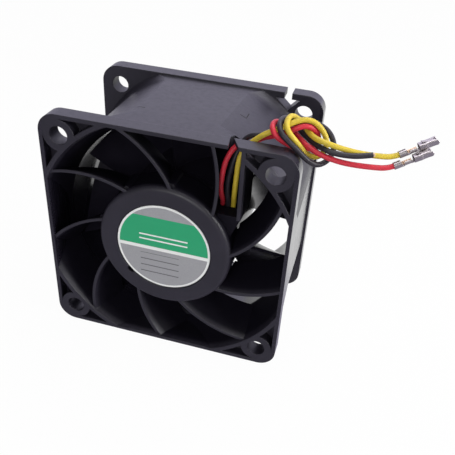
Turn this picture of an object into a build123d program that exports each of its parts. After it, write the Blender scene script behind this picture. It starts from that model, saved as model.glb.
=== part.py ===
from build123d import *
import math
import os

# Axial DC fan, 60 mm square and 38 mm deep, with a vaned motor base on the exhaust side.
# World frame: millimetres, +Z up, origin at the middle of the frame's bottom edge at mid depth.
# The fan axis lies along Y. The exhaust side with the label faces -Y, the intake faces +Y.
# Pieces about the axis are drawn in fan axes: x to the right and y up as seen from the exhaust
# side, z along the axis towards the exhaust, zero at mid depth.

# Frame moulding
frame_size = 60.0
frame_depth = 38.0
corner_radius = 4.5
flange_thickness = 4.0
hole_edge = 5.0
hole_radius = 2.25
hole_boss = 1.7
bore_wall = 1.2
barrel_wall = 2.7
barrel_fall = 0.6
side_wall = 0.9
exhaust_flare = 3.2
exhaust_length = 10.0
rim_wall = 1.1
bell_flare = 2.8
bell_depth = 5.0
barrel_flare = 1.2
barrel_flare_length = 3.5
barrel_flare_front = 5.0
pocket_depth = 2.8
pocket_wall = 1.0
hook_neck = 1.9
hook_lean = 0.3
hook_edge = 9.4
hook_neck_depth = 1.6
hook_width = 6.2
hook_height = 3.0

# Motor base, carried by the stator vanes
base_radius = 16.6
base_wall = 1.4
base_round = 1.2
base_plate = 2.4
base_depth = 8.0
label_radius = 11.7
label_gap = 0.3
label_thickness = 0.15
label_recess = 0.25
access_radius = 4.2
test_hole_radius = 1.0
test_hole_pitch_radius = 11.9
test_hole_angle = 225.0
boss_wall = 1.5
boss_length = 5.1
board_seat = 2.5
ledge_width = 1.3

# Stator vanes
vane_count = 9
vane_first_angle = 4.0
vane_sweep = 28.0
vane_bow = 14.5
vane_bow_radius = 24.0
vane_thickness = 0.8
vane_setback = 0.5
vane_depth = 9.0
vane_twist = 10.0
vane_foot_width = 1.5
vane_foot_length = 0.7
vane_foot_setback = 1.0

# Lead trough in the upper right of the motor base
trough_vane = 1
trough_floor = 0.8
trough_floor_drop = 1.3
trough_wall = 0.9
trough_wall_offset = 1.2
trough_wall_rise = 0.95
trough_wall_foot_angle = 19.4
trough_bridge_rise = 0.25
trough_strut_lean = 0.95
trough_strut_rise = 6.75
trough_strut_return = 0.85
rotor_clearance = 0.4
skirt_notch_angle = 36.0
skirt_notch_width = 5.6
window_inside = 4.0
window_outside = 1.8
window_length = 4.0
window_height = 6.5
window_under_flange = 1.2
mouth_inside = 5.0
slit_width = 0.8
slit_shift = 0.6
slit_mouth = 2.2

# Impeller
hub_step = 0.9
hub_wall = 1.0
hub_end = 1.6
hub_edge = 2.0
hub_gap = 0.8
hub_inset = 4.0
hub_dish_radius = 11.0
hub_dish_depth = 0.6
tip_clearance = 0.6
blade_count = 7
blade_rest_angle = 14.0
blade_root_sink = 2.5
blade_tip_excess = 1.2
blade_setback = 2.8
blade_root_rise = 1.9
blade_middle_rise = 3.0
blade_tip_rise = 4.8
blade_root_wrap = 57.0
blade_middle_wrap = 55.0
blade_tip_wrap = 52.0
blade_camber = 2.2
blade_root_thickness = 1.7
blade_middle_thickness = 1.4
blade_tip_thickness = 1.1
blade_edge_share = 0.55
blade_sweep = 5.0

# Rotor
yoke_wall = 1.0
yoke_setback = 1.0
magnet_thickness = 1.5
magnet_setback = 0.6
magnet_floor_gap = 5.4
shaft_radius = 1.5
shaft_setback = 0.6
bush_radius = 4.0
bush_length = 6.2
clip_thickness = 0.4
clip_radius = 2.5
clip_groove_depth = 0.4
clip_mouth = 1.9
washer_thickness = 0.3
washer_seat = 0.25

# Ball bearings, 3 x 8 x 4 mm
bearing_radius = 4.0
bearing_width = 4.0
race_wall = 0.85
ball_radius = 0.62
ball_count = 7
ball_clearance = 0.03
cage_width = 2.0
cage_thickness = 0.5
cage_clearance = 0.06
shield_thickness = 0.15
shield_inset = 0.2
shield_gap = 0.1

# Bearing tube
tube_wall = 1.0
tube_shoulder = 0.6
front_bearing_setback = 2.0
rear_bearing_inset = 0.4
tube_bush_gap = 0.4

# Stator
air_gap = 0.4
core_ring = 1.6
tooth_count = 4
tooth_width = 4.0
shoe_thickness = 1.3
slot_opening = 2.4
insulator_thickness = 0.8
insulator_clearance = 0.1
guard_height = 2.5
guard_thickness = 0.8
coil_thickness = 1.4
coil_clearance = 0.1
coil_ring_gap = 0.6
coil_shoe_gap = 0.7
coil_corner = 0.9
pin_radius = 0.35

# Circuit board
board_thickness = 1.2
board_clearance = 0.2
board_pin_clearance = 0.15
hall_size = (1.5, 4.0, 3.0)
hall_angle = 180.0
driver_size = (3.9, 5.0, 1.6)
driver_angle = 135.0
bridge_size = (3.9, 4.2, 1.5)
bridge_angles = (225.0, 315.0)
capacitor_radius = 2.0
capacitor_height = 3.2
capacitor_angle = 68.0

# Leads and crimp contacts
lead_diameter = 1.2
contact_length = 7.6
contact_width = 1.5
contact_height = 1.3
contact_wall = 0.2
socket_share = 0.5
crimp_radius = 0.8
solder_width = 1.5
solder_length = 1.2
solder_drop = 0.8
solder_edge = 2.4
solder_angles = (39.9, 33.1, 26.0)
lead_way_inset = 2.0
lead_way_angles = (41.2, 35.1, 29.2)

# Values worked out from the sizes above
front = frame_depth / 2
rear = -frame_depth / 2
half = frame_size / 2
hole_pitch = frame_size - 2 * hole_edge
bore_radius = half - bore_wall
barrel_radius = bore_radius + barrel_wall
exhaust_radius = bore_radius + exhaust_flare
bell_radius = bore_radius + bell_flare
hook_offset = half - hook_edge
opening_half = half - side_wall
base_floor = front - base_plate
skirt_end = front - base_depth
hub_front = skirt_end - hub_gap
hub_rear = rear + hub_inset
hub_radius = base_radius - hub_step
hub_inner = hub_radius - hub_wall
tip_radius = bore_radius - tip_clearance
blade_front = hub_front - blade_setback
blade_root_plane = hub_radius - blade_root_sink
blade_tip_plane = tip_radius + blade_tip_excess
blade_middle_plane = (blade_root_plane + blade_tip_plane) / 2
tube_radius = bearing_radius + tube_wall
tube_front = base_floor
yoke_floor = hub_rear + hub_end
bush_front = yoke_floor + bush_length
tube_rear = bush_front + tube_bush_gap
front_bearing = tube_front - front_bearing_setback - bearing_width / 2
rear_bearing = tube_rear + rear_bearing_inset + bearing_width / 2
race_middle = (bearing_radius + shaft_radius) / 2
outer_race = bearing_radius - race_wall
inner_race = shaft_radius + race_wall
yoke_inner = hub_inner - yoke_wall
magnet_inner = yoke_inner - magnet_thickness
magnet_front = hub_front - yoke_setback - magnet_setback
magnet_rear = yoke_floor + magnet_floor_gap
magnet_length = magnet_front - magnet_rear
stack_height = magnet_length - 2 * (insulator_thickness + guard_height)
core_radius = magnet_inner - air_gap
coil_inner_radius = tube_radius + core_ring + coil_ring_gap
coil_outer_radius = core_radius - shoe_thickness - coil_shoe_gap
core_middle = magnet_front - magnet_length / 2
core_front = core_middle + stack_height / 2
core_rear = core_middle - stack_height / 2
boss_radius = tube_radius + boss_wall
boss_end = base_floor - boss_length
board_front = boss_end + board_seat
board_rear = board_front - board_thickness
board_radius = base_radius - base_wall - board_clearance
hall_pitch_radius = (magnet_inner + yoke_inner) / 2
chip_pitch_radius = (boss_radius + board_radius) / 2
vane_front = front - vane_setback
vane_rear = vane_front - vane_depth
guard_front = core_front + insulator_thickness + guard_height
trough_top = skirt_end - trough_floor_drop
trough_low = trough_top - trough_floor
flange_back = front - flange_thickness
trough_wall_x = base_radius + trough_wall_offset
window_left = trough_wall_x - window_inside
window_right = trough_wall_x + window_outside
mouth_left = trough_wall_x - mouth_inside

fan_axes = Plane(origin=(0, 0, half), x_dir=(1, 0, 0), z_dir=(0, -1, 0))


def save(shape, node):
    """Write one piece, already in world axes, to its own file."""
    export_step(shape, f"parts/{node}.step")


def save_turned(shape, node):
    """Write one piece that was drawn in fan axes."""
    save(fan_axes.location * shape, node)


def ring(outer, inner, low, high):
    """Plain ring about the axis, from low to high along it."""
    face = Circle(outer) - Circle(inner) if inner else Circle(outer)
    return Pos(0, 0, low) * extrude(face, high - low)


def slab(width, low, high, radius=0.0):
    """Square slab about the axis."""
    face = RectangleRounded(width, width, radius) if radius else Rectangle(width, width)
    return Pos(0, 0, low) * extrude(face, high - low)


def turned(edges):
    """Solid of revolution of a closed outline of (radius, height) edges."""
    return revolve(Plane.XZ * make_face(edges), Axis.Z)


def polar(radius, angle):
    """Point in the fan's face at a radius and an angle from +x."""
    turn = math.radians(angle)
    return (radius * math.cos(turn), radius * math.sin(turn))


def air_space(grow=0.0):
    """The way of the air: bell mouth, bore and a diffuser that runs out into the corners."""
    bore = bore_radius + grow
    bell = bell_radius + grow
    rim = exhaust_radius + grow
    outline = [
        Line((0, rear), (bell, rear)),
        TangentArc((bore, rear + bell_depth), (bell, rear), tangent=(0, -1)),
        Line((bore, rear + bell_depth), (bore, front - exhaust_length)),
        Line((bore, front - exhaust_length), (rim, front)),
        Line((rim, front), (0, front)),
        Line((0, front), (0, rear)),
    ]
    return turned(outline) & slab(2 * (opening_half + grow), rear, front)


def barrel():
    """Outside of the barrel, flared into both flanges and cut flat on four sides, with draft."""
    flare = barrel_radius + barrel_flare
    rim = exhaust_radius + rim_wall
    rear_face = rear + flange_thickness
    front_face = front - flange_thickness
    outline = [
        Line((0, rear), (flare, rear)),
        Line((flare, rear), (flare, rear_face)),
        TangentArc((barrel_radius, rear_face + barrel_flare_length), (flare, rear_face), tangent=(0, -1)),
        Line((barrel_radius, rear_face + barrel_flare_length), (barrel_radius, front_face - barrel_flare_front)),
        Line((barrel_radius, front_face - barrel_flare_front), (rim, front_face)),
        Line((rim, front_face), (rim, front)),
        Line((rim, front), (0, front)),
        Line((0, front), (0, rear)),
    ]
    flats = loft([Pos(0, 0, rear) * Rectangle(*2 * [frame_size - 2 * barrel_fall]), Pos(0, 0, front) * Rectangle(*2 * [frame_size])])
    return turned(outline) & flats


def corner_pockets():
    """Cored corners of the exhaust flange, one pocket on each side of every round hole boss."""
    face = Rectangle(2 * (half - pocket_wall), 2 * (half - pocket_wall)) - Circle(exhaust_radius + rim_wall)
    signs = [(sx, sy) for sx in (-1, 1) for sy in (-1, 1)]
    bosses = [Pos(sx * hole_pitch / 2, sy * hole_pitch / 2) * Circle(hole_radius + hole_boss) for sx, sy in signs]
    outer = (half + hole_pitch / 2) / 2
    corners = [Pos(sx * outer, sy * outer) * Rectangle(hole_edge, hole_edge) for sx, sy in signs]
    return Pos(0, 0, front - pocket_depth) * extrude(face - bosses - corners, pocket_depth)


def vane_line(turn, inner, outer):
    """Bowed line of one vane from the motor base to the rim, as seen from the exhaust side."""
    share = (outer - base_radius) / (exhaust_radius - base_radius)
    middle = (inner + outer) / 2
    lag = vane_bow * (middle - base_radius) / (vane_bow_radius - base_radius)
    return ThreePointArc(polar(inner, turn), polar(middle, turn + lag), polar(outer, turn + vane_sweep * share))


def vane(turn):
    """Stator vane: the bowed line given its thickness, turned a little towards the rear."""
    inner = base_radius - base_wall / 2
    face = trace(vane_line(turn, inner, exhaust_radius + rim_wall), vane_thickness)
    blade = loft([Pos(0, 0, vane_rear) * Rot(0, 0, vane_twist) * face, Pos(0, 0, vane_front) * face])
    return blade


def vane_foot(turn):
    """Thicker foot of a vane where it leaves the motor base."""
    inner = base_radius - base_wall / 2
    face = trace(vane_line(turn, inner, exhaust_radius + rim_wall), vane_foot_width)
    high = vane_front - vane_foot_setback
    bar = Pos(0, 0, skirt_end) * extrude(face, high - skirt_end)
    return bar & ring(base_radius + vane_foot_length, 0, skirt_end, high)


def swung(point, turn):
    """Point in the fan's face turned about the axis."""
    return polar(math.hypot(*point), math.degrees(math.atan2(point[1], point[0])) + turn)


def lead_trough():
    """Open trough for the leads: a twisted strut, a guard wall with its toe, a floor that keeps them off the
    blades and a bridge over their way into the motor base."""
    root = base_radius - base_wall / 2
    foot = polar(root, vane_first_angle + trough_vane * 360 / vane_count)
    bow = (foot[0] + trough_strut_lean, foot[1] + trough_strut_rise)
    top = (foot[0] - trough_strut_return, half)
    twist = vane_twist * (vane_front - trough_low) / vane_depth
    strut_face = trace(ThreePointArc(foot, bow, top), vane_thickness)
    strut = loft([Pos(0, 0, trough_low) * Rot(0, 0, twist) * strut_face, Pos(0, 0, vane_front) * strut_face])
    wall_top = (trough_wall_x, half)
    wall_low = (trough_wall_x, foot[1] + trough_wall_rise)
    wall_foot = polar(root, trough_wall_foot_angle)
    low_foot, low_bow, low_top = [swung(point, twist) for point in (foot, bow, top)]
    floor_outline = [ThreePointArc(low_foot, low_bow, low_top), Polyline(low_top, wall_top, wall_low, wall_foot, low_foot)]
    floor = Pos(0, 0, trough_low) * extrude(make_face(floor_outline), trough_floor)
    guard = Pos(0, 0, trough_low) * extrude(trace(Line(wall_low, wall_top), trough_wall), front - trough_low)
    toe = Pos(0, 0, trough_low) * extrude(trace(Line(wall_foot, wall_low), trough_wall), base_floor - trough_low)
    bridge_top = foot[1] + trough_bridge_rise
    share = (bridge_top - wall_foot[1]) / (wall_low[1] - wall_foot[1])
    bridge_end = (wall_foot[0] + share * (wall_low[0] - wall_foot[0]), bridge_top)
    bridge_face = make_face(Polyline((foot[0], bridge_top), bridge_end, wall_foot, foot, close=True))
    bridge = Pos(0, 0, board_rear) * extrude(bridge_face, base_floor - board_rear)
    return [strut, floor, guard, toe, bridge]


def guard_head():
    """Upper end of the guard wall, from the rim of the exhaust flange to its top wall."""
    line = Line((trough_wall_x, half - window_height), (trough_wall_x, half - side_wall / 2))
    return Pos(0, 0, flange_back) * extrude(trace(line, trough_wall), flange_thickness)


def lead_mouth():
    """Space above the trough, where the rim gives way up to the top wall."""
    right = trough_wall_x - trough_wall / 2
    low = half - window_height
    middle = ((mouth_left + right) / 2, (low + opening_half) / 2, front - flange_thickness / 2)
    return Pos(*middle) * Box(right - mouth_left, opening_half - low, flange_thickness)


def motor_base():
    """Cup that carries the motor: face plate with the label seat, skirt, board ledge and tube boss."""
    skirt_inner = base_radius - base_wall
    block = ring(base_radius, 0, skirt_end, front)
    block = fillet(block.edges().sort_by(Axis.Z)[-1], base_round)
    cup = block - ring(skirt_inner, 0, skirt_end, base_floor)
    ledge = ring(skirt_inner, skirt_inner - ledge_width, board_front, base_floor)
    boss = ring(boss_radius, 0, boss_end, base_floor)
    return cup + ledge + boss


def motor_base_cuts():
    """What is cut from the motor base after the vanes have joined it."""
    seat = ring(label_radius + label_gap, 0, front - label_recess, front)
    access = ring(access_radius, 0, base_floor, front)
    tube_hole = ring(tube_radius, 0, boss_end, base_floor)
    skirt_space = ring(base_radius - base_wall, boss_radius, skirt_end, board_front)
    x, y = polar(test_hole_pitch_radius, test_hole_angle)
    test_hole = Pos(x, y, 0) * ring(test_hole_radius, 0, base_floor, front)
    notch_x, notch_y = polar(base_radius, skirt_notch_angle)
    notch = Pos(notch_x, notch_y, board_rear) * Rot(0, 0, skirt_notch_angle) * Box(
        3 * base_wall, skirt_notch_width, board_rear - skirt_end, align=(Align.CENTER, Align.CENTER, Align.MAX)
    )
    return [seat, access, tube_hole, skirt_space, test_hole, notch & ring(base_radius, 0, skirt_end, board_rear)]


def lead_window():
    """Way of the leads through the barrel wall, under the flange's top edge, with its tapered fitting slit."""
    middle = (window_left + window_right) / 2
    width = window_right - window_left
    low = half - window_height
    height = 2 * window_height
    open_box = Pos(middle, low + height / 2, flange_back - window_length / 2) * Box(width, height, window_length)
    under = opening_half - low
    under_box = Pos(middle, low + under / 2, flange_back + window_under_flange / 2) * Box(width, under, window_under_flange)
    slit_left = window_left + slit_shift
    slit_face = make_face(Polyline(
        (window_left, flange_back),
        (window_left + slit_width, flange_back),
        (slit_left + slit_mouth, front),
        (slit_left, front),
        close=True,
    ))
    slit = Pos(0, half, 0) * extrude(Plane.XZ * slit_face, 2 * side_wall)
    return [open_box, under_box, slit]


def hook_notch():
    """Arrow-shaped lead hook in the top edge of the intake flange."""
    neck_low = half - hook_neck_depth
    left = hook_offset - hook_width / 2
    right = hook_offset + hook_width / 2
    arrow = make_face(Polyline((left, neck_low), (right, neck_low), (hook_offset + hook_lean, neck_low - hook_height), close=True))
    neck = Pos(hook_offset, half) * Rectangle(hook_neck, 2 * hook_neck_depth + hook_lean)
    depth = flange_thickness + barrel_flare_length
    return Pos(0, 0, rear) * extrude(arrow + neck, depth)


def frame():
    """The whole housing as one moulding."""
    corners = [(sx * hole_pitch / 2, sy * hole_pitch / 2) for sx in (-1, 1) for sy in (-1, 1)]
    plates = slab(frame_size, front - flange_thickness, front, corner_radius)
    plates += slab(frame_size, rear, rear + flange_thickness, corner_radius)
    shell = plates + barrel() - corner_pockets() - air_space() - lead_mouth()
    turns = [vane_first_angle + k * 360 / vane_count for k in range(vane_count)]
    hub_way = ring(base_radius + rotor_clearance, 0, rear, skirt_end)
    in_wall = air_space(side_wall / 2) - hub_way
    vanes = [vane(turn) & in_wall for k, turn in enumerate(turns) if k != trough_vane]
    feet = [vane_foot(turn) for k, turn in enumerate(turns) if k != trough_vane]
    trough = [piece & in_wall for piece in lead_trough()]
    body = shell + motor_base() + vanes + feet + trough + guard_head()
    holes = [Pos(x, y, 0) * ring(hole_radius, 0, rear, front) for x, y in corners]
    return body - motor_base_cuts() - holes - lead_window() - hook_notch()


def blade_section(radius, rise, wrap, thickness, turn):
    """Cambered section of a blade on a plane square to the radius, leading edge towards the intake."""
    length = blade_front - hub_rear - rise
    width = 2 * radius * math.tan(math.radians(wrap / 2))
    lead = Vector(-width / 2, -length / 2)
    trail = Vector(width / 2, length / 2)
    along = (trail - lead).normalized()
    across = Vector(along.Y, -along.X)
    middle = (lead + trail) * 0.5 + across * blade_camber
    crown = across * (thickness / 2)
    edge = crown * blade_edge_share
    outline = [
        ThreePointArc(lead + edge, middle + crown, trail + edge),
        Line(trail + edge, trail - edge),
        ThreePointArc(trail - edge, middle - crown, lead - edge),
        Line(lead - edge, lead + edge),
    ]
    plane = Plane(origin=(radius, 0, blade_front - length / 2), x_dir=(0, 1, 0), z_dir=(1, 0, 0))
    return Rot(0, 0, turn) * (plane * make_face(outline))


def impeller():
    """Hub cup with its twisted blades, closed on the intake side."""
    shoulder = hub_rear + hub_edge
    outline = [
        Line((0, hub_rear + hub_dish_depth), (hub_dish_radius, hub_rear + hub_dish_depth)),
        Line((hub_dish_radius, hub_rear + hub_dish_depth), (hub_dish_radius, hub_rear)),
        Line((hub_dish_radius, hub_rear), (hub_radius - hub_edge, hub_rear)),
        TangentArc((hub_radius - hub_edge, hub_rear), (hub_radius, shoulder), tangent=(1, 0)),
        Line((hub_radius, shoulder), (hub_radius, hub_front)),
        Line((hub_radius, hub_front), (0, hub_front)),
        Line((0, hub_front), (0, hub_rear + hub_dish_depth)),
    ]
    sections = [
        blade_section(blade_root_plane, blade_root_rise, blade_root_wrap, blade_root_thickness, 0),
        blade_section(blade_middle_plane, blade_middle_rise, blade_middle_wrap, blade_middle_thickness, blade_sweep / 2),
        blade_section(blade_tip_plane, blade_tip_rise, blade_tip_wrap, blade_tip_thickness, blade_sweep),
    ]
    blade = loft(sections) & ring(tip_radius, 0, hub_rear, hub_front)
    blades = [Rot(0, 0, blade_rest_angle + k * 360 / blade_count) * blade for k in range(blade_count)]
    return turned(outline) + blades - ring(hub_inner, 0, yoke_floor, hub_front)


def bearing(middle):
    """Rings, shields, balls and cage of one ball bearing at a place on the axis."""
    low = middle - bearing_width / 2
    high = middle + bearing_width / 2
    groove = Pos(0, 0, middle) * Torus(race_middle, ball_radius + ball_clearance)
    outer = ring(bearing_radius, outer_race, low, high) - groove
    inner = ring(inner_race, shaft_radius, low, high) - groove
    shield = [
        ring(outer_race, inner_race + shield_gap, low + shield_inset, low + shield_inset + shield_thickness),
        ring(outer_race, inner_race + shield_gap, high - shield_inset - shield_thickness, high - shield_inset),
    ]
    places = [Rot(0, 0, k * 360 / ball_count) * Pos(race_middle, 0, middle) for k in range(ball_count)]
    balls = [place * Sphere(ball_radius) for place in places]
    cage = ring(race_middle + cage_thickness / 2, race_middle - cage_thickness / 2, middle - cage_width / 2, middle + cage_width / 2)
    cage -= [place * Rot(0, 90, 0) * Cylinder(ball_radius + cage_clearance, 2 * cage_thickness) for place in places]
    return outer, inner, Compound(children=shield), Compound(children=balls), cage


def bearing_tube():
    """Tube that holds both bearings, with an inner shoulder between them."""
    tube = ring(tube_radius, bearing_radius - tube_shoulder, tube_rear, tube_front)
    front_seat = ring(bearing_radius, 0, front_bearing - bearing_width / 2, tube_front)
    rear_seat = ring(bearing_radius, 0, tube_rear, rear_bearing + bearing_width / 2)
    return tube - front_seat - rear_seat


def pole_outline(inner, teeth_width, shoe_outer, shoe_inner, hub_outer):
    """Stator outline: hub ring, teeth and pole shoes parted by the slot openings."""
    shoes = Circle(shoe_outer) - Circle(shoe_inner)
    slots = [Rot(0, 0, 45 + k * 90) * Pos(shoe_outer, 0) * Rectangle(shoe_outer, slot_opening) for k in range(tooth_count)]
    reach = (shoe_inner + shoe_outer) / 2
    teeth = [Rot(0, 0, k * 90) * Pos(reach / 2, 0) * Rectangle(reach, teeth_width) for k in range(tooth_count)]
    return Circle(hub_outer) + (shoes - slots) + teeth - Circle(inner)


def stator_core():
    """Stack of laminations with four poles."""
    face = pole_outline(tube_radius, tooth_width, core_radius, core_radius - shoe_thickness, tube_radius + core_ring)
    return Pos(0, 0, core_rear) * extrude(face, stack_height)


def insulator(seat, direction):
    """Moulded end cap of the stator with a collar and guards that hold the windings."""
    hub_outer = tube_radius + core_ring
    inner = tube_radius + insulator_clearance
    shoe_inner = core_radius - shoe_thickness
    face = pole_outline(inner, tooth_width, shoe_inner + guard_thickness, shoe_inner, hub_outer)
    plate = extrude(face, insulator_thickness)
    slots = [Rot(0, 0, 45 + k * 90) * Pos(core_radius, 0) * Rectangle(core_radius, slot_opening) for k in range(tooth_count)]
    guard = Circle(shoe_inner + guard_thickness) - Circle(shoe_inner) - slots
    collar = Circle(hub_outer) - Circle(hub_outer - guard_thickness)
    walls = Pos(0, 0, insulator_thickness) * extrude(guard + collar, guard_height)
    cap = plate + walls
    flip = Rot(0, 0, 0) if direction > 0 else Rot(180, 0, 0)
    return Pos(0, 0, seat) * flip * cap


def coil(turn):
    """One winding round its tooth."""
    inner_width = tooth_width + 2 * coil_clearance
    inner_height = stack_height + 2 * insulator_thickness
    hole = Rectangle(inner_height, inner_width)
    outside = RectangleRounded(inner_height + 2 * coil_thickness, inner_width + 2 * coil_thickness, coil_corner)
    plane = Plane(origin=(coil_inner_radius, 0, core_middle), x_dir=(0, 0, 1), z_dir=(1, 0, 0))
    return Rot(0, 0, turn) * extrude(plane * (outside - hole), coil_outer_radius - coil_inner_radius)


def pin_places():
    """Places of the winding pins on the guards of the front end cap."""
    radius = core_radius - shoe_thickness + guard_thickness / 2
    return [polar(radius, k * 90) for k in range(tooth_count)]


def board():
    """Ring-shaped circuit board on the ledge of the motor base."""
    plate = ring(board_radius, boss_radius + board_clearance, board_rear, board_front)
    holes = [Pos(x, y, 0) * ring(pin_radius + board_pin_clearance, 0, board_rear, board_front) for x, y in pin_places()]
    return plate - holes


def chip(size, radius, turn):
    """Rectangular part on the rear face of the board."""
    x, y = polar(radius, turn)
    low_side = (Align.CENTER, Align.CENTER, Align.MAX)
    return Pos(x, y, board_rear) * Rot(0, 0, turn) * Box(*size, align=low_side)


def capacitor():
    """Round capacitor on the rear face of the board."""
    x, y = polar(chip_pitch_radius, capacitor_angle)
    return Pos(x, y, 0) * ring(capacitor_radius, 0, board_rear - capacitor_height, board_rear)


def retaining_clip():
    """Open clip that sits in the groove of the shaft, against the front bearing."""
    low = front_bearing + bearing_width / 2
    disc = ring(clip_radius, shaft_radius - clip_groove_depth, low, low + clip_thickness)
    mouth = Pos(clip_radius, 0, low + clip_thickness / 2) * Box(2 * clip_radius, clip_mouth, 2 * clip_thickness)
    return disc - mouth


def shaft():
    """Shaft with the clip's groove near its free end."""
    low = yoke_floor
    groove_low = front_bearing + bearing_width / 2
    groove = ring(2 * shaft_radius, shaft_radius - clip_groove_depth, groove_low, groove_low + clip_thickness)
    return ring(shaft_radius, 0, low, base_floor - shaft_setback) - groove


def spring_washer():
    """Conical washer that preloads the bearings, between the bush and the rear inner ring."""
    low = bush_front
    high = rear_bearing - bearing_width / 2
    inner = shaft_radius + shield_gap
    outer = inner_race
    outline = Polyline(
        (inner, high),
        (inner + washer_seat, high),
        (outer, low + washer_thickness),
        (outer, low),
        (outer - washer_seat, low),
        (inner, high - washer_thickness),
        close=True,
    )
    return turned(outline)


def lead(points):
    """Insulated lead: straight runs joined by arcs as large as the runs allow."""
    radii = []
    for before, here, after in zip(points, points[1:], points[2:]):
        into = Vector(*here) - Vector(*before)
        out = Vector(*after) - Vector(*here)
        turn = math.radians(into.get_angle(out))
        radii.append(0.45 * min(into.length, out.length) / math.tan(turn / 2))
    path = FilletPolyline(*points, radius=radii)
    start = Plane(origin=path @ 0, z_dir=path % 0)
    tube = sweep(start * Circle(lead_diameter / 2), path=path)
    print("lead length", round(path.length, 1))
    return tube


def contact(points):
    """Crimp contact on the end of a lead: crimped tail, neck and a folded box that takes a pin."""
    tail = Vector(*points[-1])
    way = (tail - Vector(*points[-2])).normalized()
    plane = Plane(origin=tail, x_dir=way.cross(Vector(0, 0, 1)).normalized(), z_dir=way)
    socket = contact_length * socket_share
    tail_length = contact_length - socket
    crimp = extrude(Circle(crimp_radius), tail_length * 0.42)
    wire_crimp = Pos(0, 0, tail_length * 0.55) * extrude(Circle(crimp_radius * 0.8), tail_length * 0.3)
    strip = Pos(0, -crimp_radius * 0.6, 0) * Box(
        crimp_radius, contact_wall * 2, tail_length + contact_wall, align=(Align.CENTER, Align.CENTER, Align.MIN)
    )
    outside = Rectangle(contact_width, contact_height)
    inside = Rectangle(contact_width - 2 * contact_wall, contact_height - 2 * contact_wall)
    box = Pos(0, 0, tail_length) * extrude(outside - inside, socket)
    end_wall = Pos(0, 0, tail_length) * extrude(outside, contact_wall)
    return plane.location * (crimp + wire_crimp + strip + box + end_wall)


def solder_joint(points):
    """Soldered end of a lead on the rear face of the board."""
    begin = Vector(*points[0])
    way = (Vector(*points[1]) - begin).normalized()
    low = lead_diameter / 2
    high = board_rear + begin.Y
    plane = Plane(origin=begin, x_dir=(0, -1, 0), z_dir=way)
    face = Pos((high - low) / 2, 0) * Rectangle(high + low, solder_width)
    return plane.location * extrude(face, -solder_length)


# Routes of the leads: from the board through the trough and the window, then the knot and the free ends
lead_level = solder_drop - board_rear
solder_places = [polar(board_radius - solder_edge, angle) for angle in solder_angles]
way_places = [polar(base_radius - lead_way_inset, angle) for angle in lead_way_angles]
starts = [(x, lead_level, half + y) for x, y in solder_places]
ways = [(x, lead_level, half + y) for x, y in way_places]
route_red = [
    starts[0], ways[0], (12.3, -11.9, 41.2), (12.42, -13.25, 43.6), (12.35, -15.0, 46.6),
    (12.65, -16.3, 50.3), (13.35, -16.4, 55.1), (14.95, -15.3, 58.35), (16.4, -13.9, 58.2), (18.4, -12.0, 58.4),
    (20.2, -11.5, 59.6), (22.8, -12.1, 60.7), (25.5, -12.4, 62.2), (28.3, -11.9, 64.0), (30.4, -10.8, 63.5),
    (31.9, -9.8, 61.4), (31.4, -10.9, 59.2), (29.2, -12.5, 58.8), (27.0, -13.8, 59.7), (25.0, -15.4, 61.35),
    (23.3, -15.7, 62.6), (22.3, -14.6, 63.9), (22.4, -11.6, 63.9), (23.6, -9.2, 62.6), (25.6, -9.6, 61.9),
    (27.7, -11.3, 61.0), (29.8, -13.2, 60.3), (32.1, -14.2, 59.6), (34.6, -14.5, 59.0), (37.3, -13.9, 58.2),
    (40.2, -13.3, 57.8), (43.9, -12.5, 57.6), (47.2, -11.7, 57.6), (48.9, -11.0, 58.45),
]
route_black = [
    starts[1], ways[1], (13.5, -11.95, 40.1), (13.72, -12.5, 42.7), (13.4, -13.2, 45.4),
    (13.75, -14.4, 49.5), (14.5, -14.5, 53.3), (15.2, -13.4, 56.6), (16.3, -12.3, 58.9), (17.8, -12.4, 60.2),
    (20.2, -12.7, 60.6), (22.8, -11.9, 62.2), (25.3, -11.0, 63.6), (28.6, -9.8, 64.5), (31.3, -8.3, 63.4),
    (33.9, -8.6, 62.1), (35.5, -10.0, 59.8), (35.1, -12.3, 57.7), (33.0, -14.3, 56.6), (30.8, -15.5, 57.9),
    (28.5, -15.9, 60.1), (25.8, -16.1, 62.2), (24.2, -15.3, 63.5), (23.7, -13.5, 64.5), (23.8, -10.6, 64.4),
    (24.8, -8.3, 63.6), (26.3, -7.8, 62.2), (28.6, -10.0, 61.2), (31.0, -12.2, 60.7), (33.6, -14.3, 60.6),
    (36.2, -14.5, 60.2), (39.1, -14.2, 60.1), (41.5, -13.7, 60.3), (43.6, -13.1, 60.7),
]
route_yellow = [
    starts[2], ways[2], (14.75, -11.9, 39.2), (14.8, -11.75, 42.0), (15.35, -14.2, 45.7),
    (15.9, -15.8, 50.7), (16.2, -16.2, 55.2), (16.6, -15.3, 57.2), (17.6, -14.4, 58.5), (18.9, -14.1, 59.9),
    (20.7, -13.9, 61.5), (22.9, -13.3, 62.6), (25.4, -12.4, 63.9), (27.7, -11.3, 65.0), (30.2, -10.7, 65.0),
    (32.3, -10.4, 63.3), (33.7, -10.4, 61.0), (33.7, -11.5, 58.7), (32.2, -12.8, 57.6), (29.8, -13.7, 58.6),
    (28.2, -14.5, 60.9), (26.4, -15.2, 63.0), (25.3, -14.6, 64.3), (25.1, -12.3, 65.2), (25.5, -9.7, 64.9),
    (26.7, -8.1, 63.8), (28.2, -9.0, 62.8), (29.9, -11.2, 62.2), (31.7, -13.5, 62.2), (34.0, -14.1, 62.0),
    (37.0, -13.3, 61.0), (40.9, -12.2, 60.1), (45.0, -11.1, 59.7), (47.8, -10.1, 59.6), (49.5, -9.4, 60.45),
]

os.makedirs("parts", exist_ok=True)

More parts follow.
